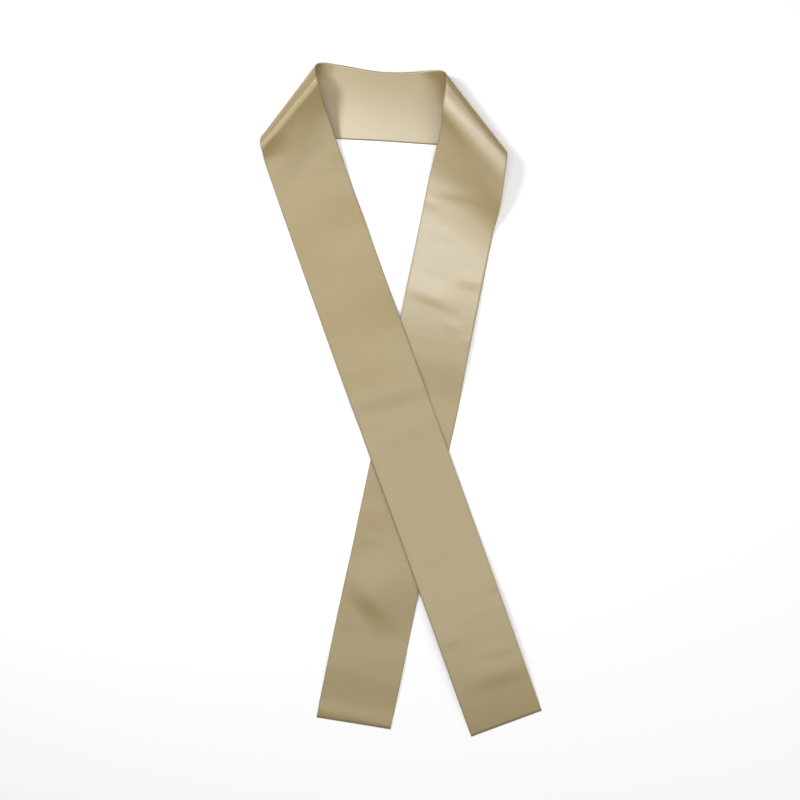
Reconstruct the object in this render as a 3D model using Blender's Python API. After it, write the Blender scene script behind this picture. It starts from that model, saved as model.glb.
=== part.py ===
"""A satin sash laid flat in a neck loop, its tails crossed.

One strip of double-faced satin ribbon lies across the top as the neck band, rolls over at each
shoulder and comes back as a tail. Each stretch that shows is one closed solid, a thin wall worked
out from the sizes below. Sizes are in millimetres and the meshes are written in metres.

  s   distance along the ribbon from the middle of the neck band, outwards on either side
  t   distance across the ribbon, positive towards the outer edge of the neck band
"""
import math
from collections import namedtuple

import bpy

MM = 0.001

# The ribbon
RIBBON_WIDTH = 100.0
WALL = 1.0
SEAM_GAP = 0.3
LAYER_GAP = 0.45
COLUMNS = 8

# Where the middle of the neck band lies, and how far it stays curved in plan on each side
NECK_X = -20.6
NECK_Y = 397.0
NECK_CURVED_HALF = 45.0

# Between the shoulders the neck band bows up across its width, so it looks narrower from above,
# and it sags a little towards the tails
NECK_BOW_RISE = 9.0
NECK_BOW_NARROWS = 0.08
NECK_SAG = 1.5

# Middle of the outline of the finished sash, moved onto the origin
MIDDLE_X = 0.92
MIDDLE_Y = -0.19

# One row for each shoulder. side is +1 to the right. slope_deg is how the neck band falls there,
# fold_deg is how far the fold's outward direction stands above level, and lift_at is where the
# middle of the ribbon leaves the surface. radius is the roll's. crest_deg is how far past flat the
# roll turns, fall_deg is the slope that it settles to, and long is the whole ribbon on that side.
Shoulder = namedtuple("Shoulder", "side slope_deg fold_deg lift_at radius crest_deg fall_deg "
                                  "settle ease land_skew long end_skew_deg")
SHOULDERS = {
    "right": Shoulder(1, -1.5, 38.4, 89.1, 11.0, 36.0, 24.0, 1.6, 1.6, 0.35, 975.5, -2.6),
    "left": Shoulder(-1, -5.3, 37.8, 90.7, 14.6, 32.0, 18.0, 1.8, 1.6, 0.30, 1038.0, 0.6),
}
LIFT_LENGTH = 1.2
LIFT_DEG = 10.0

# How each tail strays in plan and off the surface, by distance along the ribbon. aside is towards
# the edge that was the outer one on the neck band, height is what the tail is raised by, and width
# is how much of the ribbon's width shows.
Rise = namedtuple("Rise", "along aside height width")
TAIL_FORM = {
    "right": (
        Rise(100, 0.0, 0.0, 1.0),
        Rise(185, -3.2, 0.0, 1.0),
        Rise(255, -0.8, 0.0, 1.0),
        Rise(290, -0.4, 0.0, 1.0),
        Rise(382, 0.0, 6.5, 1.0),
        Rise(450, -0.6, 0.4, 1.0),
        Rise(480, -0.8, 0.0, 1.0),
        Rise(860, -2.4, 0.0, 1.0),
        Rise(942, -2.0, 2.2, 1.0),
        Rise(975.5, -1.6, 0.0, 0.99),
    ),
    "left": (
        Rise(120, 0.0, 0.0, 1.0),
        Rise(215, -2.4, 0.0, 1.0),
        Rise(415, -2.2, 0.0, 1.0),
        Rise(485, -2.0, 5.2, 1.0),
        Rise(560, -1.6, WALL + LAYER_GAP + 0.6, 1.0),
        Rise(600, -1.2, WALL + LAYER_GAP, 1.0),
        Rise(858, 0.0, WALL + LAYER_GAP, 1.0),
        Rise(915, 0.0, 0.0, 1.0),
        Rise(965, 0.0, 0.0, 0.995),
        Rise(1006, 0.0, 2.4, 0.98),
        Rise(1038, 0.0, 0.0, 0.965),
    ),
}

# Rows of points along each stretch
NECK_ROWS = 7
LIFT_ROWS = 2
ROLL_ROWS = 11
SETTLE_ROWS = 3
FALL_ROWS = 5
TAIL_STEP = 26.0

SATIN_COLOUR = (0.56, 0.47, 0.31, 1.0)


def smooth(x):
    """Ease from 0 to 1 with level ends."""
    x = min(max(x, 0.0), 1.0)
    return x * x * (3.0 - 2.0 * x)


def between(table, at, column):
    """Read one column of a table at a distance, eased from row to row."""
    before = table[0]
    for row in table:
        if row.along >= at:
            if row.along == before.along:
                return getattr(row, column)
            share = smooth((at - before.along) / (row.along - before.along))
            return getattr(before, column) + share * (getattr(row, column) - getattr(before, column))
        before = row
    return getattr(before, column)


def plan_direction(degrees):
    return math.cos(math.radians(degrees)), math.sin(math.radians(degrees))


class Stretch:
    """The middle surface of the ribbon on one side of the neck band's middle."""

    def __init__(self, name):
        self.form = SHOULDERS[name]
        self.tail = TAIL_FORM[name]
        form = self.form
        self.side = form.side
        level = (SHOULDERS["left"].slope_deg + SHOULDERS["right"].slope_deg) / 2.0
        self.level_deg = level
        # the point where the neck band turns straight, and its directions along and across
        self.along = self.turned(1.0, 0.0)
        self.across = self.turned(0.0, 1.0)
        start = self.curved(NECK_CURVED_HALF)
        self.start = start
        out_x, out_y = plan_direction(form.fold_deg)
        self.out = (form.side * out_x, out_y)
        self.down = (form.side * out_y, -out_x)
        self.out_along = self.dot(self.out, self.along)
        self.out_across = self.dot(self.out, self.across)
        self.fold_skew = self.out_across / self.out_along
        self.lift_point = self.flat(form.lift_at, 0.0)
        self.make_profile()
        self.rows = self.make_rows()

    @staticmethod
    def dot(a, b):
        return a[0] * b[0] + a[1] * b[1]

    def turned(self, along, across, degrees=None):
        """A direction given along and across the neck band, in plan."""
        degrees = self.form.slope_deg if degrees is None else degrees
        c, s = plan_direction(degrees)
        return (self.side * along * c - across * s, self.side * along * s + across * c)

    def curved(self, s):
        """The middle line of the neck band's curved part, s from its middle."""
        x, y = NECK_X, NECK_Y
        steps = 12
        for i in range(steps):
            share = (i + 0.5) / steps * s / NECK_CURVED_HALF
            slope = self.level_deg + share * (self.form.slope_deg - self.level_deg)
            dx, dy = self.turned(s / steps, 0.0, slope)
            x += dx
            y += dy
        return x, y

    def flat(self, s, t):
        """Where a point of the ribbon would lie if the neck band ran straight on."""
        if s >= NECK_CURVED_HALF:
            x, y = self.start
            ahead = s - NECK_CURVED_HALF
            across = self.across
            return (x + self.along[0] * ahead + across[0] * t, y + self.along[1] * ahead + across[1] * t)
        x, y = self.curved(s)
        slope = self.level_deg + s / NECK_CURVED_HALF * (self.form.slope_deg - self.level_deg)
        dx, dy = self.turned(0.0, t, slope)
        return x + dx, y + dy

    def make_profile(self):
        """Section square to the fold: arc length, distance outwards and height of the roll."""
        form = self.form
        parts = (
            (LIFT_LENGTH * form.radius, 0.0, LIFT_DEG, LIFT_ROWS, True),
            (math.radians(180 + form.crest_deg - LIFT_DEG) * form.radius, LIFT_DEG,
             180 + form.crest_deg, ROLL_ROWS, False),
            (form.settle * form.radius, 180 + form.crest_deg, 180 + form.fall_deg, SETTLE_ROWS, True),
        )
        fine = 12
        out, height, arc = 0.0, 0.0, 0.0
        self.profile = [(arc, out, height)]
        for length, first, last, rows, eased in parts:
            for i in range(rows * fine):
                share = (i + 0.5) / (rows * fine)
                turn = math.radians(first + (last - first) * (smooth(share) if eased else share))
                step = length / (rows * fine)
                out += math.cos(turn) * step
                height += math.sin(turn) * step
                arc += step
                if (i + 1) % fine == 0:
                    self.profile.append((arc, out, height))
        # straight down the slope, then eased onto the surface
        ease_length = form.ease * form.radius
        ease = []
        for i in range(2 * fine):
            share = (i + 0.5) / (2 * fine)
            turn = math.radians(form.fall_deg * (1.0 - smooth(share)))
            ease.append((math.cos(turn) * ease_length / (2 * fine), math.sin(turn) * ease_length / (2 * fine)))
        fall = math.radians(form.fall_deg)
        straight = (height - sum(drop for _, drop in ease)) / math.sin(fall)
        for i in range(FALL_ROWS - 2):
            step = straight / (FALL_ROWS - 2)
            out -= math.cos(fall) * step
            height -= math.sin(fall) * step
            arc += step
            self.profile.append((arc, out, height))
        for i, (back, drop) in enumerate(ease):
            out -= back
            height -= drop
            arc += ease_length / (2 * fine)
            if (i + 1) % fine == 0:
                self.profile.append((arc, out, max(height, 0.0)))
        self.mirror = arc + out

    def make_rows(self):
        """Rows of points: along the middle, skew, turned-over or not, out or its shift, height."""
        form = self.form
        rows = []
        for i in range(NECK_ROWS):
            s = form.lift_at * i / NECK_ROWS
            rows.append((s, self.fold_skew * s / form.lift_at, "neck", 0.0, 0.0))
        rolled = 1 + LIFT_ROWS + ROLL_ROWS + SETTLE_ROWS
        count = len(self.profile)
        for k, (arc, out, height) in enumerate(self.profile):
            s = form.lift_at + arc / self.out_along
            if k < rolled:
                rows.append((s, self.fold_skew, "roll", out, height))
            else:
                share = (k - rolled + 1) / (count - rolled)
                skew = self.fold_skew + (form.land_skew - self.fold_skew) * smooth(share)
                rows.append((s, skew, "over", out - (self.mirror - arc), height))
        landed = rows[-1][0]
        steps = max(int(round((form.long - landed) / TAIL_STEP)), 1)
        for i in range(1, steps + 1):
            s = landed + (form.long - landed) * i / steps
            share = smooth((s - landed) / 140.0)
            skew = form.land_skew * (1.0 - share)
            if s > form.long - 120.0:
                skew += math.tan(math.radians(form.end_skew_deg)) * smooth(1.0 - (form.long - s) / 120.0)
            rows.append((s, skew, "over", 0.0, 0.0))
        return rows

    def point(self, row, t):
        """A point of the middle surface, in millimetres above where it rests."""
        s_mid, skew, kind, out, height = row
        s = s_mid - skew * t
        if kind == "neck":
            bowed = 1.0 - smooth(s_mid / self.form.lift_at)
            share = smooth((t / RIBBON_WIDTH + 0.5 - 0.25) / 0.75)
            x, y = self.flat(s, t * (1.0 - NECK_BOW_NARROWS * bowed))
            return (x, y - NECK_SAG * bowed, NECK_BOW_RISE * bowed * share)
        x, y = self.flat(s, t)
        from_lift = (x - self.lift_point[0], y - self.lift_point[1])
        beside = self.dot(from_lift, self.down)
        ahead = self.dot(from_lift, self.out)
        if kind == "over":
            out = self.mirror - ahead + out
        across = self.mirrored(self.across)
        aside = between(self.tail, s_mid, "aside") + t * (between(self.tail, s_mid, "width") - 1.0)
        return (self.lift_point[0] + self.down[0] * beside + self.out[0] * out + across[0] * aside,
                self.lift_point[1] + self.down[1] * beside + self.out[1] * out + across[1] * aside,
                height + between(self.tail, s_mid, "height"))

    def mirrored(self, direction):
        """A plan direction after the ribbon has turned over at the fold."""
        beside = self.dot(direction, self.down)
        ahead = self.dot(direction, self.out)
        return (self.down[0] * beside - self.out[0] * ahead, self.down[1] * beside - self.out[1] * ahead)


def clear_scene():
    for thing in list(bpy.data.objects):
        bpy.data.objects.remove(thing, do_unlink=True)


def satin(name):
    material = bpy.data.materials.new(name)
    material.use_nodes = True
    shader = material.node_tree.nodes["Principled BSDF"]
    shader.inputs["Base Color"].default_value = SATIN_COLOUR
    shader.inputs["Roughness"].default_value = 0.38
    shader.inputs["Metallic"].default_value = 0.0
    return material


def subtract(a, b):
    return (a[0] - b[0], a[1] - b[1], a[2] - b[2])


def cross(a, b):
    return (a[1] * b[2] - a[2] * b[1], a[2] * b[0] - a[0] * b[2], a[0] * b[1] - a[1] * b[0])


def wall_from_sheet(sheet):
    """Offset a grid of middle points to both sides and close the rim."""
    rows, columns = len(sheet), len(sheet[0])
    upper, lower = [], []
    for j in range(rows):
        for i in range(columns):
            ahead = subtract(sheet[min(j + 1, rows - 1)][i], sheet[max(j - 1, 0)][i])
            aside = subtract(sheet[j][min(i + 1, columns - 1)], sheet[j][max(i - 1, 0)])
            normal = cross(ahead, aside)
            size = math.sqrt(sum(n * n for n in normal))
            half = [n / size * WALL / 2 for n in normal]
            x, y, z = sheet[j][i]
            z += WALL / 2
            upper.append(((x + half[0]), (y + half[1]), (z + half[2])))
            lower.append(((x - half[0]), (y - half[1]), (z - half[2])))
    points = upper + lower
    back = rows * columns

    def corner(j, i):
        return j * columns + i

    faces = []
    for j in range(rows - 1):
        for i in range(columns - 1):
            a, b, c, d = corner(j, i), corner(j + 1, i), corner(j + 1, i + 1), corner(j, i + 1)
            faces.append((a, b, c, d))
            faces.append((back + d, back + c, back + b, back + a))
    for j in range(rows - 1):
        a, b = corner(j, 0), corner(j + 1, 0)
        faces.append((a, back + a, back + b, b))
        a, b = corner(j, columns - 1), corner(j + 1, columns - 1)
        faces.append((b, back + b, back + a, a))
    for i in range(columns - 1):
        a, b = corner(0, i), corner(0, i + 1)
        faces.append((b, back + b, back + a, a))
        a, b = corner(rows - 1, i), corner(rows - 1, i + 1)
        faces.append((a, back + a, back + b, b))
    return points, faces


def volume(points, faces):
    total = 0.0
    for face in faces:
        for k in range(1, len(face) - 1):
            a, b, c = points[face[0]], points[face[k]], points[face[k + 1]]
            total += sum(p * q for p, q in zip(a, cross(b, c))) / 6.0
    return total


def add_solid(name, sheet):
    points, faces = wall_from_sheet(sheet)
    if volume(points, faces) < 0:
        faces = [tuple(reversed(face)) for face in faces]
    mesh = bpy.data.meshes.new(name)
    placed = [((x - MIDDLE_X) * MM, (y - MIDDLE_Y) * MM, z * MM) for x, y, z in points]
    mesh.from_pydata(placed, [], faces)
    for polygon in mesh.polygons:
        polygon.use_smooth = True
    mesh.materials.append(satin(name))
    thing = bpy.data.objects.new(name, mesh)
    bpy.context.collection.objects.link(thing)
    return thing


def shifted(row, by):
    """The same row, moved along the ribbon by a little."""
    return (row[0] + by,) + tuple(row[1:])


def sheet_of(stretch, rows):
    across = [RIBBON_WIDTH * (i / COLUMNS - 0.5) for i in range(COLUMNS + 1)]
    return [[stretch.point(row, t) for t in across] for row in rows]


def build():
    clear_scene()
    neck = []
    for name in ("left", "right"):
        stretch = Stretch(name)
        lift_row = next(j for j, row in enumerate(stretch.rows) if row[2] == "roll")
        land_row = lift_row + len(stretch.profile) - 1
        rows = stretch.rows
        # the neck band ends just short of where the cloth lifts
        last = ((rows[lift_row][0] - SEAM_GAP / stretch.out_along), rows[lift_row][1], "neck", 0.0, 0.0)
        half = sheet_of(stretch, rows[:lift_row] + [last])
        neck = half[:0:-1] + half[:1] if name == "left" else neck + half[1:]
        add_solid(name + "_shoulder_turn", sheet_of(stretch, rows[lift_row:land_row + 1]))
        first = shifted(rows[land_row], SEAM_GAP)
        add_solid(name + "_tail", sheet_of(stretch, [first] + rows[land_row + 1:]))
    add_solid("neck_band", neck)


build()
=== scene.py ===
"""A champagne satin sash laid flat in a neck loop with its tails crossed.

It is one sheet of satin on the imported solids' form.

Lengths are in millimetres until a mesh is written. s runs along the ribbon from the middle of the neck
band, outwards on either side. t runs across it, positive towards the outer edge of the neck band.
"""
import math
from collections import namedtuple

import bpy
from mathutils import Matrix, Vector


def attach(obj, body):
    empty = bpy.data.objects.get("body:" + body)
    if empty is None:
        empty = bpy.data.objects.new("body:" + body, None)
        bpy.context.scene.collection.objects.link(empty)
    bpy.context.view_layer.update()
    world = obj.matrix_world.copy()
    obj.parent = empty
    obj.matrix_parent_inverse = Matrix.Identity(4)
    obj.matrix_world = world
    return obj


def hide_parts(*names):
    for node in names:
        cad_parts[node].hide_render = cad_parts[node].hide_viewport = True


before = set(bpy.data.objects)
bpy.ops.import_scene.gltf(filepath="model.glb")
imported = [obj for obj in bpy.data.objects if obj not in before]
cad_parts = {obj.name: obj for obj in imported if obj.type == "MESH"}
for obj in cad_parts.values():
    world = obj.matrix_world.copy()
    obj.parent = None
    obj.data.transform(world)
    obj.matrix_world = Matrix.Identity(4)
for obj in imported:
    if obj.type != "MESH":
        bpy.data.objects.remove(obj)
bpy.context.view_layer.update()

MM = 0.001

# ---------------------------------------------------------------------------------------------
# The ribbon's form: the same named sizes as the solids
# ---------------------------------------------------------------------------------------------
RIBBON_WIDTH = 100.0
SATIN_THICK = 0.45
LAYER_GAP = 0.5
COLUMNS = 40

NECK_X, NECK_Y = -20.6, 397.0
NECK_CURVED_HALF = 45.0
NECK_BOW_HALF = 88.0
NECK_BOW_NARROWS = 0.08
NECK_SAG = 1.5
NECK_EDGE_RISE = 8.7
NECK_RISE_POWER = 2.3
NECK_RISE_FADES = 30.0
CONE_FADES = 55.0
MIDDLE_X, MIDDLE_Y = 0.92, -0.19

# Each shoulder's turn. side is 1 to the right and -1 to the left. slope_deg is the neck band's slope there
# and fold_deg the way out of the fold. The section square to the fold lifts off the table at lift_at, over
# a length lift, to lift_deg. It bends up with the radius under, over with the radius tight as far as
# tight_to, and on with the radius crown as far as crown_to. It settles, falls from fall_deg to land_deg, and
# comes to rest over the lengths crease and glide. taper makes the roll higher towards the neck band's outer
# edge, and cone slants its inner side. land_skew turns the rows of points where it comes to rest. long is
# the whole side's length, and end_skew_deg the slant of its cut.
Shoulder = namedtuple("Shoulder", "side slope_deg fold_deg lift_at lift lift_deg under tight tight_to "
                                  "crown crown_to settle fall_deg land_deg crease glide_deg glide "
                                  "land_skew taper cone long end_skew_deg")
SHOULDERS = {
    "right": Shoulder(
        side=1, slope_deg=-1.5, fold_deg=38.4, long=975.5, end_skew_deg=-2.6,
        lift_at=74.0, lift=27.0, lift_deg=30.0, under=13.2,
        tight=9.5, tight_to=172.0, crown=60.0, crown_to=184.0,
        settle=20.0, fall_deg=26.0, land_deg=23.0, crease=38.0, glide_deg=5.0, glide=26.0,
        land_skew=0.40, taper=0.12, cone=0.30,
    ),
    "left": Shoulder(
        side=-1, slope_deg=-5.3, fold_deg=37.8, long=1038.0, end_skew_deg=0.6,
        lift_at=93.85, lift=14.0, lift_deg=12.0, under=14.6,
        tight=18.8, tight_to=151.0, crown=9.0, crown_to=211.0,
        settle=22.0, fall_deg=25.0, land_deg=22.0, crease=44.0, glide_deg=6.0, glide=40.0,
        land_skew=0.05, taper=0.23, cone=0.20,
    ),
}

# How each tail strays in plan and off the surface, by distance along the ribbon
Rise = namedtuple("Rise", "along aside height width")
OVER_LAYER = SATIN_THICK + LAYER_GAP
TAIL_FORM = {
    "right": (
        Rise(100, 0.0, 0.0, 1.0),
        Rise(205, -5.2, 0.0, 1.0),
        Rise(266, -1.8, 0.0, 1.0),
        Rise(290, -1.7, 0.0, 1.0),
        Rise(440, -2.0, 3.8, 1.005),
        Rise(464, -2.2, 3.6, 1.005),
        Rise(530, -2.8, 0.0, 1.02),
        Rise(620, -2.0, 0.0, 1.01),
        Rise(720, -1.6, 0.0, 1.005),
        Rise(850, -1.0, 0.2, 1.02),
        Rise(905, -1.2, 2.0, 1.02),
        Rise(952, -1.2, 0.4, 1.02),
        Rise(965, -1.2, 1.2, 1.01),
    ),
    "left": (
        Rise(120, 0.0, 0.0, 1.0),
        Rise(185, -2.8, 0.0, 1.02),
        Rise(240, -2.0, 0.0, 1.015),
        Rise(415, -2.2, 0.2, 1.025),
        Rise(500, -2.0, 3.0, 1.025),
        Rise(560, -1.6, OVER_LAYER + 2.4, 1.025),
        Rise(606, -1.2, OVER_LAYER + 0.6, 1.025),
        Rise(750, -0.4, OVER_LAYER + 1.5, 1.02),
        Rise(892, 0.0, 8.4, 1.015),
    ),
}

# Soft creases on the tails: the crest's middle, its turn from square across, how far it runs each way from
# its middle, how far the cloth takes to rise before the crest and to fall after it, and how high it is. A
# height below zero makes a trough.
Crease = namedtuple("Crease", "along aside turn_deg half_long before after height")
CREASES = {
    "right": (
        Crease(249, 10, -1, 46, 18, 10, 0.6),
        Crease(266, 42, 2, 20, 10, 9, 0.35),
        Crease(303, 20, 2, 36, 14, 12, 0.25),
        Crease(360, -34, 2, 34, 22, 12, 0.6),
        Crease(391, 14, -10, 56, 30, 14, 1.0),
        Crease(424, -20, -12, 26, 12, 10, 0.3),
        Crease(440, -50, 3, 20, 12, 9, 0.4),
        Crease(690, 36, 4, 26, 14, 30, 0.7),
        Crease(728, 24, -8, 34, 16, 12, 0.5),
        Crease(801, 6, -41, 66, 110, 36, 5.4),
        Crease(846, 34, 4, 22, 10, 8, 0.4),
        Crease(880, -20, 5, 60, 30, 22, 0.8),
        Crease(906, 22, -3, 40, 12, 10, 0.35),
    ),
    "left": (
        Crease(215, -50, 0, 60, 36, 70, -5.0),
        Crease(250, 40, 9, 50, 22, 14, 2.2),
        Crease(292, -44, 4, 20, 14, 12, 0.6),
        Crease(330, 40, 8, 80, 44, 46, 2.4),
        Crease(362, 26, -6, 44, 46, 13, 0.6),
        Crease(500, 50, 0, 76, 90, 60, 3.2),
        Crease(512, -30, 4, 26, 16, 8, 0.45),
        Crease(558, 0, 5, 120, 50, 32, 2.8),
        Crease(596, -12, 6, 50, 14, 12, 0.5),
        Crease(650, 10, -6, 110, 36, 80, 1.9),
        Crease(803, 10, -1, 58, 14, 7, 0.7),
        Crease(857, 44, 0, 20, 22, 10, 1.0),
        Crease(884, 8, -4, 44, 10, 8, 0.35),
        Crease(905, -34, 3, 32, 26, 14, 0.6),
        Crease(940, 20, 3, 44, 12, 9, 0.5),
        Crease(968, 12, 2, 60, 34, 24, 1.2),
    ),
}

# Spacing of the rows of points, along the ribbon
NECK_STEP = 4.0
ROLL_STEP = 1.1
FALL_STEP = 2.6
FALL_ROWS = 26
TAIL_STEP = 3.6
CURVE_STEPS = 12
FEWEST_STEPS = 6

# How far along the tail the rows take to come square after the landing, and to turn to the cut at its end
SQUARED_OVER = 140.0
END_TURNS_OVER = 120.0

# A row of points across the ribbon. skew is how far it slants, and kind is the stretch it is on. out is how
# far out the roll is or, on cloth that has turned over, how far that is shifted from a flat fold. inset is
# how far in it is from the roll's widest place.
Row = namedtuple("Row", "along skew kind out height inset")


def smooth(x):
    """Ease from 0 to 1 with level ends."""
    x = min(max(x, 0.0), 1.0)
    return x * x * (3.0 - 2.0 * x)


def between(table, at, column):
    """Read one column of a table at a distance, eased from row to row."""
    before = table[0]
    for row in table:
        if row.along >= at:
            if row.along == before.along:
                return getattr(row, column)
            share = smooth((at - before.along) / (row.along - before.along))
            return getattr(before, column) + share * (getattr(row, column) - getattr(before, column))
        before = row
    return getattr(before, column)


def ridge(crease, s, t):
    """Height that a crease adds at a point of the ribbon."""
    turn_x, turn_y = plan_direction(crease.turn_deg)
    ahead = (s - crease.along) * turn_x - (t - crease.aside) * turn_y
    beside = (s - crease.along) * turn_y + (t - crease.aside) * turn_x
    width = crease.after if ahead > 0.0 else crease.before
    over = 1.0 - smooth(abs(ahead) / width)
    beyond = 1.0 - smooth(abs(beside) / crease.half_long)
    return crease.height * over * beyond


def plan_direction(degrees):
    """The direction at an angle, in plan."""
    return math.cos(math.radians(degrees)), math.sin(math.radians(degrees))


def dot(a, b):
    return a[0] * b[0] + a[1] * b[1]


class Stretch:
    """The middle surface of the ribbon on one side of the neck band's middle."""

    def __init__(self, name):
        self.form = SHOULDERS[name]
        self.tail = TAIL_FORM[name]
        self.creases = CREASES[name]
        self.side = self.form.side
        self.level_deg = (SHOULDERS["left"].slope_deg + SHOULDERS["right"].slope_deg) / 2.0
        self.along = self.turned(1.0, 0.0, self.form.slope_deg)
        self.across = self.turned(0.0, 1.0, self.form.slope_deg)
        self.start = self.curved(NECK_CURVED_HALF)
        out_x, out_y = plan_direction(self.form.fold_deg)
        self.out = (self.side * out_x, out_y)
        self.down = (self.side * out_y, -out_x)
        self.out_along = dot(self.out, self.along)
        self.fold_skew = dot(self.out, self.across) / self.out_along
        self.lift_point = self.flat(self.form.lift_at, 0.0)
        self.make_profile()
        self.rows = self.make_rows()

    def turned(self, along, across, degrees):
        """A direction given along and across the neck band, in plan."""
        c, s = plan_direction(degrees)
        return (self.side * along * c - across * s, self.side * along * s + across * c)

    def curved(self, s):
        """The middle line of the neck band's curved part, s from its middle."""
        x, y = NECK_X, NECK_Y
        for i in range(CURVE_STEPS):
            share = (i + 0.5) / CURVE_STEPS * s / NECK_CURVED_HALF
            slope = self.level_deg + share * (self.form.slope_deg - self.level_deg)
            dx, dy = self.turned(s / CURVE_STEPS, 0.0, slope)
            x += dx
            y += dy
        return x, y

    def flat(self, s, t):
        """Where a point of the ribbon would lie if the neck band ran straight on."""
        if s >= NECK_CURVED_HALF:
            x, y = self.start
            ahead = s - NECK_CURVED_HALF
            return (x + self.along[0] * ahead + self.across[0] * t,
                    y + self.along[1] * ahead + self.across[1] * t)
        x, y = self.curved(s)
        slope = self.level_deg + s / NECK_CURVED_HALF * (self.form.slope_deg - self.level_deg)
        dx, dy = self.turned(0.0, t, slope)
        return x + dx, y + dy

    def make_profile(self):
        """Section square to the fold: arc length, distance outwards and height of the roll."""
        form = self.form
        parts = (
            (form.lift, 0.0, form.lift_deg, True),
            (math.radians(90.0 - form.lift_deg) * form.under, form.lift_deg, 90.0, False),
            (math.radians(form.tight_to - 90.0) * form.tight, 90.0, form.tight_to, False),
            (math.radians(form.crown_to - form.tight_to) * form.crown, form.tight_to, form.crown_to, False),
            (form.settle, form.crown_to, 180.0 + form.fall_deg, True),
        )
        out, height, arc = 0.0, 0.0, 0.0
        self.profile = [(arc, out, height)]
        for length, first, last, eased in parts:
            steps = max(int(length / ROLL_STEP), FEWEST_STEPS)
            for i in range(steps):
                share = (i + 0.5) / steps
                turn = math.radians(first + (last - first) * (smooth(share) if eased else share))
                out += math.cos(turn) * length / steps
                height += math.sin(turn) * length / steps
                arc += length / steps
                self.profile.append((arc, out, height))
        self.rolled = len(self.profile)
        self.widest = max(out for arc, out, height in self.profile)
        landing = []
        rests = ((form.crease, form.land_deg, form.glide_deg), (form.glide, form.glide_deg, 0.0))
        for length, first, last in rests:
            steps = max(int(length / FALL_STEP), FEWEST_STEPS)
            for i in range(steps):
                landing.append((first + (last - first) * smooth((i + 0.5) / steps), length / steps))
        drop = height - sum(math.sin(math.radians(turn)) * length for turn, length in landing)
        share = [(i + 0.5) / FALL_ROWS for i in range(FALL_ROWS)]
        falls = [form.fall_deg + (form.land_deg - form.fall_deg) * part for part in share]
        step = drop / sum(math.sin(math.radians(turn)) for turn in falls)
        for turn_deg, length in [(turn, step) for turn in falls] + landing:
            turn = math.radians(turn_deg)
            out -= math.cos(turn) * length
            height -= math.sin(turn) * length
            arc += length
            self.profile.append((arc, out, max(height, 0.0)))
        self.mirror = arc + out

    def make_rows(self):
        """The rows of points, from the neck band's middle to the tail's end."""
        form = self.form
        rows = []
        count = int(form.lift_at / NECK_STEP)
        for i in range(count):
            s = form.lift_at * i / count
            rows.append(Row(s, self.fold_skew * s / form.lift_at, "neck", 0.0, 0.0, 0.0))
        roll_end = self.profile[self.rolled - 1][0]
        landing = self.profile[-1][0] - roll_end
        passed = False
        for k, (arc, out, height) in enumerate(self.profile):
            s = form.lift_at + arc / self.out_along
            passed = passed or out == self.widest
            inset = self.widest - out if passed else 0.0
            if k < self.rolled:
                rows.append(Row(s, self.fold_skew, "roll", out, height, inset))
            else:
                eased = smooth((arc - roll_end) / landing)
                skew = self.fold_skew + (form.land_skew - self.fold_skew) * eased
                rows.append(Row(s, skew, "over", out - (self.mirror - arc), height, inset))
        landed = rows[-1].along
        steps = int(round((form.long - landed) / TAIL_STEP))
        for i in range(1, steps + 1):
            s = landed + (form.long - landed) * i / steps
            skew = form.land_skew * (1.0 - smooth((s - landed) / SQUARED_OVER))
            if s > form.long - END_TURNS_OVER:
                turned = smooth(1.0 - (form.long - s) / END_TURNS_OVER)
                skew += math.tan(math.radians(form.end_skew_deg)) * turned
            rows.append(Row(s, skew, "over", 0.0, 0.0, 0.0))
        return rows

    def surface_rise(self, s, t):
        """Height of the tail's own waves above the table, with its end curled down to it."""
        last = self.tail[-1]
        height = between(self.tail, s, "height")
        if s > last.along:
            height *= max(1.0 - ((s - last.along) / (self.form.long - last.along)) ** 2, 0.0)
        return height + sum(ridge(crease, s, t) for crease in self.creases)

    def point(self, row, t):
        """A point of the middle surface, and its distance along the ribbon."""
        s_mid, skew, kind, out, height, inset = row
        s = s_mid - skew * t
        bowed = 1.0 - smooth(abs(s) / NECK_BOW_HALF)
        raised = NECK_EDGE_RISE * (t / RIBBON_WIDTH + 0.5) ** NECK_RISE_POWER
        straight = self.flat(s, t)
        x, y = self.flat(s, t * (1.0 - NECK_BOW_NARROWS * bowed))
        y -= NECK_SAG * bowed
        if kind == "neck":
            return (x, y, raised), s
        height *= 1.0 + self.form.taper * t / (RIBBON_WIDTH / 2)
        slid = self.form.cone * t / (RIBBON_WIDTH / 2) * inset * (1.0 - smooth(inset / CONE_FADES))
        from_lift = (x - self.lift_point[0], y - self.lift_point[1])
        beside = dot(from_lift, self.down)
        ahead = dot(from_lift, self.out)
        if kind == "roll":
            rolled = (s_mid - self.form.lift_at) * self.out_along - self.form.lift
            height += raised * (1.0 - smooth(rolled / NECK_RISE_FADES))
            out += dot((x - straight[0], y - straight[1]), self.out)
        if kind == "over":
            out = self.mirror - ahead + out
        across = self.mirrored(self.across)
        onward = self.mirrored(self.along)
        slid /= self.out_along
        aside = between(self.tail, s_mid, "aside") + t * (between(self.tail, s_mid, "width") - 1.0)
        x, y = (self.lift_point[i] + self.down[i] * beside + self.out[i] * out
                + across[i] * aside + onward[i] * slid for i in (0, 1))
        return (x, y, max(height + self.surface_rise(s, t), 0.0)), s

    def mirrored(self, direction):
        """A plan direction after the ribbon has turned over at the fold."""
        beside = dot(direction, self.down)
        ahead = dot(direction, self.out)
        return (self.down[0] * beside - self.out[0] * ahead, self.down[1] * beside - self.out[1] * ahead)


# ---------------------------------------------------------------------------------------------
# The sheet
# ---------------------------------------------------------------------------------------------
def subtract(a, b):
    return (a[0] - b[0], a[1] - b[1], a[2] - b[2])


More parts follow.
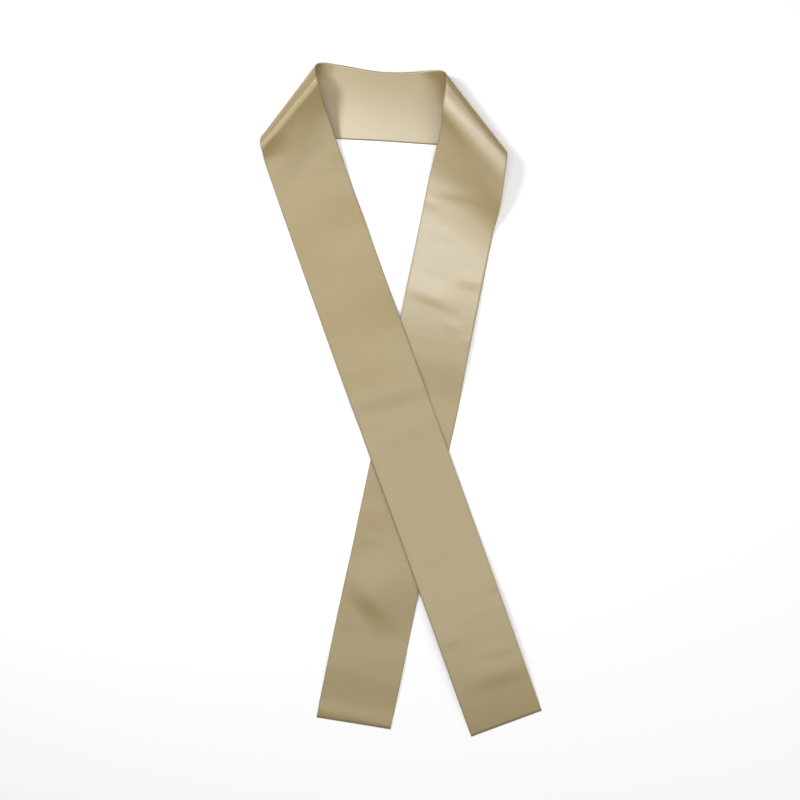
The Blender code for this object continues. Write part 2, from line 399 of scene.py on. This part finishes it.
def cross(a, b):
    return (a[1] * b[2] - a[2] * b[1], a[2] * b[0] - a[0] * b[2], a[0] * b[1] - a[1] * b[0])


def ribbon_grid():
    """Rows of (point, along, across), from the left tail's end, round the neck, to the right tail's end."""
    across = [RIBBON_WIDTH * (i / COLUMNS - 0.5) for i in range(COLUMNS + 1)]
    halves = {}
    for name in ("left", "right"):
        stretch = Stretch(name)
        rows = []
        for row in stretch.rows:
            made = []
            for t in across:
                place, s = stretch.point(row, t)
                made.append((place, stretch.side * s, t))
            rows.append(made)
        halves[name] = rows
    return halves["left"][:0:-1] + halves["right"]


def make_sash():
    """The whole ribbon as one closed sheet: an upper and a lower face with a rim round them."""
    grid = ribbon_grid()
    rows, columns = len(grid), len(grid[0])
    upper, lower, cloth = [], [], []
    for j in range(rows):
        for i in range(columns):
            ahead = subtract(grid[min(j + 1, rows - 1)][i][0], grid[max(j - 1, 0)][i][0])
            aside = subtract(grid[j][min(i + 1, columns - 1)][0], grid[j][max(i - 1, 0)][0])
            normal = cross(ahead, aside)
            size = math.sqrt(sum(n * n for n in normal))
            half = [n / size * SATIN_THICK / 2 for n in normal]
            (x, y, z), s, t = grid[j][i]
            x, y, z = x - MIDDLE_X, y - MIDDLE_Y, z + SATIN_THICK / 2
            upper.append(((x + half[0]) * MM, (y + half[1]) * MM, (z + half[2]) * MM))
            lower.append(((x - half[0]) * MM, (y - half[1]) * MM, (z - half[2]) * MM))
            cloth.append((s * MM, t * MM))
    back = rows * columns

    def corner(j, i):
        return j * columns + i

    faces = []
    for j in range(rows - 1):
        for i in range(columns - 1):
            a, b, c, d = corner(j, i), corner(j + 1, i), corner(j + 1, i + 1), corner(j, i + 1)
            faces.append((a, b, c, d))
            faces.append((back + d, back + c, back + b, back + a))

    def rim(a, b):
        faces.append((a, back + a, back + b, b))

    for j in range(rows - 1):
        rim(corner(j, 0), corner(j + 1, 0))
        rim(corner(j + 1, columns - 1), corner(j, columns - 1))
    for i in range(columns - 1):
        rim(corner(0, i + 1), corner(0, i))
        rim(corner(rows - 1, i), corner(rows - 1, i + 1))
    mesh = bpy.data.meshes.new("satin_sash")
    mesh.from_pydata(upper + lower, [], faces)
    # "strip" is the distance along and across on both faces. "threads" has its first value along the
    # floats, which run across the ribbon on the neck band's upper face, and along it on the tails' one.
    floats = [(t, s) for s, t in cloth] + cloth
    for name, places in (("strip", cloth + cloth), ("threads", floats)):
        layer = mesh.uv_layers.new(name=name)
        for loop in mesh.loops:
            layer.data[loop.index].uv = places[loop.vertex_index]
    for polygon in mesh.polygons:
        polygon.use_smooth = True
    thing = bpy.data.objects.new("satin_sash", mesh)
    bpy.context.collection.objects.link(thing)
    return thing


# ---------------------------------------------------------------------------------------------
# Satin
# ---------------------------------------------------------------------------------------------
class Socket:
    """A shader value that can be added, multiplied and compared as numbers are."""

    def __init__(self, tree, source):
        self.tree = tree
        self.source = source

    def maths(self, operation, *values):
        node = self.tree.nodes.new("ShaderNodeMath")
        node.operation = operation
        for socket, value in zip(node.inputs, values):
            if isinstance(value, Socket):
                self.tree.links.new(value.source, socket)
            else:
                socket.default_value = value
        return Socket(self.tree, node.outputs[0])

    def __add__(self, other):
        return self.maths("ADD", self, other)

    __radd__ = __add__

    def __mul__(self, other):
        return self.maths("MULTIPLY", self, other)

    __rmul__ = __mul__

    def __sub__(self, other):
        return self.maths("SUBTRACT", self, other)

    def __rsub__(self, other):
        return self.maths("SUBTRACT", other, self)

    def __truediv__(self, other):
        return self.maths("DIVIDE", self, other)

    def __gt__(self, other):
        return self.maths("GREATER_THAN", self, other)

    def __abs__(self):
        return self.maths("ABSOLUTE", self)

    def floor(self):
        return self.maths("FLOOR", self)

    def fraction(self):
        return self.maths("FRACT", self)

    def sine(self):
        return self.maths("SINE", self)


class Finish:
    """A material's node tree."""

    def __init__(self, name):
        self.material = bpy.data.materials.new(name)
        self.material.use_nodes = True
        self.tree = self.material.node_tree
        self.tree.nodes.clear()

    def node(self, kind, settings=None, **sockets):
        """Add a node: its settings first, then a value or a link for each named socket."""
        node = self.tree.nodes.new("ShaderNode" + kind)
        for name, value in (settings or {}).items():
            setattr(node, name, value)
        for name, value in sockets.items():
            wanted = name.replace("_", " ")
            socket = next(s for s in node.inputs if s.name == wanted and s.enabled)
            if isinstance(value, Socket):
                self.tree.links.new(value.source, socket)
            elif hasattr(value, "is_output"):
                self.tree.links.new(value, socket)
            else:
                socket.default_value = value
        return node

    def value(self, output):
        return Socket(self.tree, output)

    def mixed(self, share, first, second):
        """Two shaders mixed, with the given share of the second."""
        mix = self.tree.nodes.new("ShaderNodeMixShader")
        mix.inputs[0].default_value = share
        self.tree.links.new(first.outputs[0], mix.inputs[1])
        self.tree.links.new(second.outputs[0], mix.inputs[2])
        return mix


BASE = (0.379, 0.293, 0.131, 1.0)
BASE_WARM = (0.396, 0.304, 0.130, 1.0)
EDGE = (0.443, 0.362, 0.195, 1.0)
WHITE = (1.0, 1.0, 1.0, 1.0)
GLOW_SHARE = 0.60
GLOW_ROUGH = 0.68
SHEEN_SHARE = 0.107
SHEEN_ROUGH = 0.29
SPREAD_DEG = 22.0
MIDDLE_SHARE = 0.20

# The threads, in metres: their pitch, the length of a float and its dip at each end
THREAD = 0.00028
THREAD_DEPTH = 0.00006
THREAD_STRENGTH = 0.25
FLOAT = 0.0030
FLOAT_STAGGER = 7.0
FLOAT_MIDDLE = 0.44
FLOAT_DIP = 0.5

# Slow drift of tone, in cells to the metre, and how much it changes the sheen's roughness
DRIFT_ALONG = 3.0
DRIFT_ACROSS = 60.0
DRIFT_DETAIL = 3.0
DRIFT_ROUGHNESS = 0.55
DRIFT_SHEEN = 0.02

# The paler, rougher band along each long edge, in metres: it is whole as far in as EDGE_WHOLE and has faded
# out at EDGE_FADED
EDGE_WHOLE = 0.0006
EDGE_FADED = 0.0018
EDGE_SHARE = 0.7
EDGE_ROUGHER = 0.10


def satin_finish():
    made = Finish("champagne_satin")
    where = made.node("UVMap", {"uv_map": "threads"})
    parts = made.node("SeparateXYZ", Vector=where.outputs["UV"])
    along, across = made.value(parts.outputs["X"]), made.value(parts.outputs["Y"])
    strip = made.node("SeparateXYZ", Vector=made.node("UVMap", {"uv_map": "strip"}).outputs["UV"])
    aside = made.value(strip.outputs["Y"])

    # slow changes of tone along the threads
    stretched = made.node("CombineXYZ", X=along * DRIFT_ALONG, Y=across * DRIFT_ACROSS, Z=0.0)
    drift = made.node("TexNoise", {"noise_dimensions": "2D"}, Vector=stretched.outputs[0],
                      Scale=1.0, Detail=DRIFT_DETAIL, Roughness=DRIFT_ROUGHNESS)
    tone = made.value(drift.outputs["Fac"])
    colour = made.node("Mix", {"data_type": "RGBA"}, Factor=tone, A=BASE, B=BASE_WARM)
    colour_out = next(o for o in colour.outputs if o.enabled)

    # the colour is paler and the sheen rougher near both long edges
    half = RIBBON_WIDTH * MM / 2
    to_edge = half - abs(aside)
    edge = made.node("MapRange", {"interpolation_type": "SMOOTHSTEP"}, Value=to_edge,
                     From_Min=EDGE_WHOLE, From_Max=EDGE_FADED, To_Min=1.0, To_Max=0.0)
    edge_mask = made.value(edge.outputs[0])
    edged = made.node("Mix", {"data_type": "RGBA"}, Factor=edge_mask * EDGE_SHARE, A=colour_out, B=EDGE)
    edged_out = next(o for o in edged.outputs if o.enabled)

    # fine threads, in floats that step from one to the next
    thread = across / THREAD
    thread_seed = made.node("TexWhiteNoise", {"noise_dimensions": "1D"}, W=thread.floor())
    shift = made.value(thread_seed.outputs["Value"])
    float_place = along / FLOAT + shift * FLOAT_STAGGER
    from_middle = abs(float_place.fraction() - 0.5)
    height = abs((thread * math.pi).sine()) - (from_middle > FLOAT_MIDDLE) * FLOAT_DIP

    # the body's own colour, in part a broad gleam of that colour
    plain_bump = made.node("Bump", Height=height, Strength=THREAD_STRENGTH, Distance=THREAD_DEPTH)
    body = made.node("BsdfPrincipled", Base_Color=edged_out, Roughness=GLOW_ROUGH, Metallic=GLOW_SHARE,
                     Normal=plain_bump.outputs["Normal"])
    body.inputs["Specular IOR Level"].default_value = 0.0

    # the white sheen of the floats, which lean to either side of the threads
    rough = SHEEN_ROUGH + (tone - 0.5) * DRIFT_SHEEN + edge_mask * EDGE_ROUGHER
    lobes = []
    for tilt in (-SPREAD_DEG, 0.0, SPREAD_DEG):
        lean, stand = math.sin(math.radians(tilt)), math.cos(math.radians(tilt))
        leaning = made.node("NormalMap", {"space": "TANGENT", "uv_map": "threads"}, Strength=1.0,
                            Color=(0.5, 0.5 + lean / 2, 0.5 + stand / 2, 1.0))
        bump = made.node("Bump", Height=height, Strength=THREAD_STRENGTH, Distance=THREAD_DEPTH,
                         Normal=leaning.outputs["Normal"])
        shader = made.node("BsdfPrincipled", Base_Color=WHITE, Metallic=1.0, Roughness=rough,
                           Normal=bump.outputs["Normal"])
        lobes.append(shader)
    sides = made.mixed(0.5, lobes[0], lobes[2])
    sheen = made.mixed(MIDDLE_SHARE, sides, lobes[1])
    whole = made.mixed(SHEEN_SHARE, body, sheen)
    end = made.node("OutputMaterial")
    made.tree.links.new(whole.outputs[0], end.inputs["Surface"])
    return made.material


def floor_finish():
    made = Finish("white_table")
    shader = made.node("BsdfPrincipled", Base_Color=TABLE_WHITE, Roughness=TABLE_ROUGH, Emission_Color=WHITE)
    shader.inputs["Emission Strength"].default_value = TABLE_GLOW
    end = made.node("OutputMaterial")
    made.tree.links.new(shader.outputs[0], end.inputs["Surface"])
    return made.material


# ---------------------------------------------------------------------------------------------
# Stage, camera and light
# ---------------------------------------------------------------------------------------------
PICTURE_WIDE = 1081.1
CAMERA_HIGH = 2500.0
SENSOR_WIDE = 36.0
FLOOR_HALF = 6.0
FLOOR_DROP = 0.0002
TABLE_WHITE = (0.96, 0.96, 0.96, 1.0)
TABLE_ROUGH = 0.9
TABLE_GLOW = 0.08
ROOM = 0.19
SIDE_PLACE = (-0.82, 0.66, 0.91)
SIDE_AIM = (0.0, 0.1, 0.0)
SIDE_SIZE = 0.30
SIDE_RADIANCE = 30.0
FILL_PLACE = (1.6, 0.3, 1.6)
FILL_AIM = (0.1, 0.3, 0.0)
FILL_SIZE = 1.3
FILL_RADIANCE = 1.8
OVERHEAD_PLACE = (0.25, -0.25, 2.7)
OVERHEAD_WIDE, OVERHEAD_TALL = 2.4, 2.3
OVERHEAD_RADIANCE = 2.48


def add_floor():
    mesh = bpy.data.meshes.new("table")
    r, z = FLOOR_HALF, -FLOOR_DROP
    mesh.from_pydata([(-r, -r, z), (r, -r, z), (r, r, z), (-r, r, z)], [], [(0, 1, 2, 3)])
    thing = bpy.data.objects.new("table", mesh)
    mesh.materials.append(floor_finish())
    bpy.context.collection.objects.link(thing)


def add_camera():
    data = bpy.data.cameras.new("camera")
    data.sensor_width = SENSOR_WIDE
    data.lens = SENSOR_WIDE * CAMERA_HIGH / PICTURE_WIDE
    thing = bpy.data.objects.new("camera", data)
    thing.location = (-MIDDLE_X * MM, -MIDDLE_Y * MM, CAMERA_HIGH * MM)
    bpy.context.collection.objects.link(thing)
    bpy.context.scene.camera = thing


def add_softbox(name, place, aim, wide, tall, radiance):
    """A flat lamp of even brightness; its power follows from its area."""
    data = bpy.data.lights.new(name, "AREA")
    data.shape = "RECTANGLE"
    data.size, data.size_y = wide, tall
    data.energy = radiance * math.pi * wide * tall
    thing = bpy.data.objects.new(name, data)
    thing.location = place
    thing.rotation_euler = (Vector(aim) - Vector(place)).to_track_quat("-Z", "Y").to_euler()
    bpy.context.collection.objects.link(thing)


def add_light():
    world = bpy.data.worlds.new("studio")
    world.use_nodes = True
    background = world.node_tree.nodes["Background"]
    background.inputs["Color"].default_value = WHITE
    background.inputs["Strength"].default_value = ROOM
    bpy.context.scene.world = world
    add_softbox("side", SIDE_PLACE, SIDE_AIM, SIDE_SIZE, SIDE_SIZE, SIDE_RADIANCE)
    add_softbox("fill", FILL_PLACE, FILL_AIM, FILL_SIZE, FILL_SIZE, FILL_RADIANCE)
    straight_down = (OVERHEAD_PLACE[0], OVERHEAD_PLACE[1], 0.0)
    add_softbox("overhead", OVERHEAD_PLACE, straight_down, OVERHEAD_WIDE, OVERHEAD_TALL, OVERHEAD_RADIANCE)
    bpy.context.scene.view_settings.view_transform = "Standard"


sash = make_sash()
sash.data.materials.append(satin_finish())
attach(sash, "root")
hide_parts("neck_band", "left_shoulder_turn", "left_tail", "right_shoulder_turn", "right_tail")
add_floor()
add_camera()
add_light()
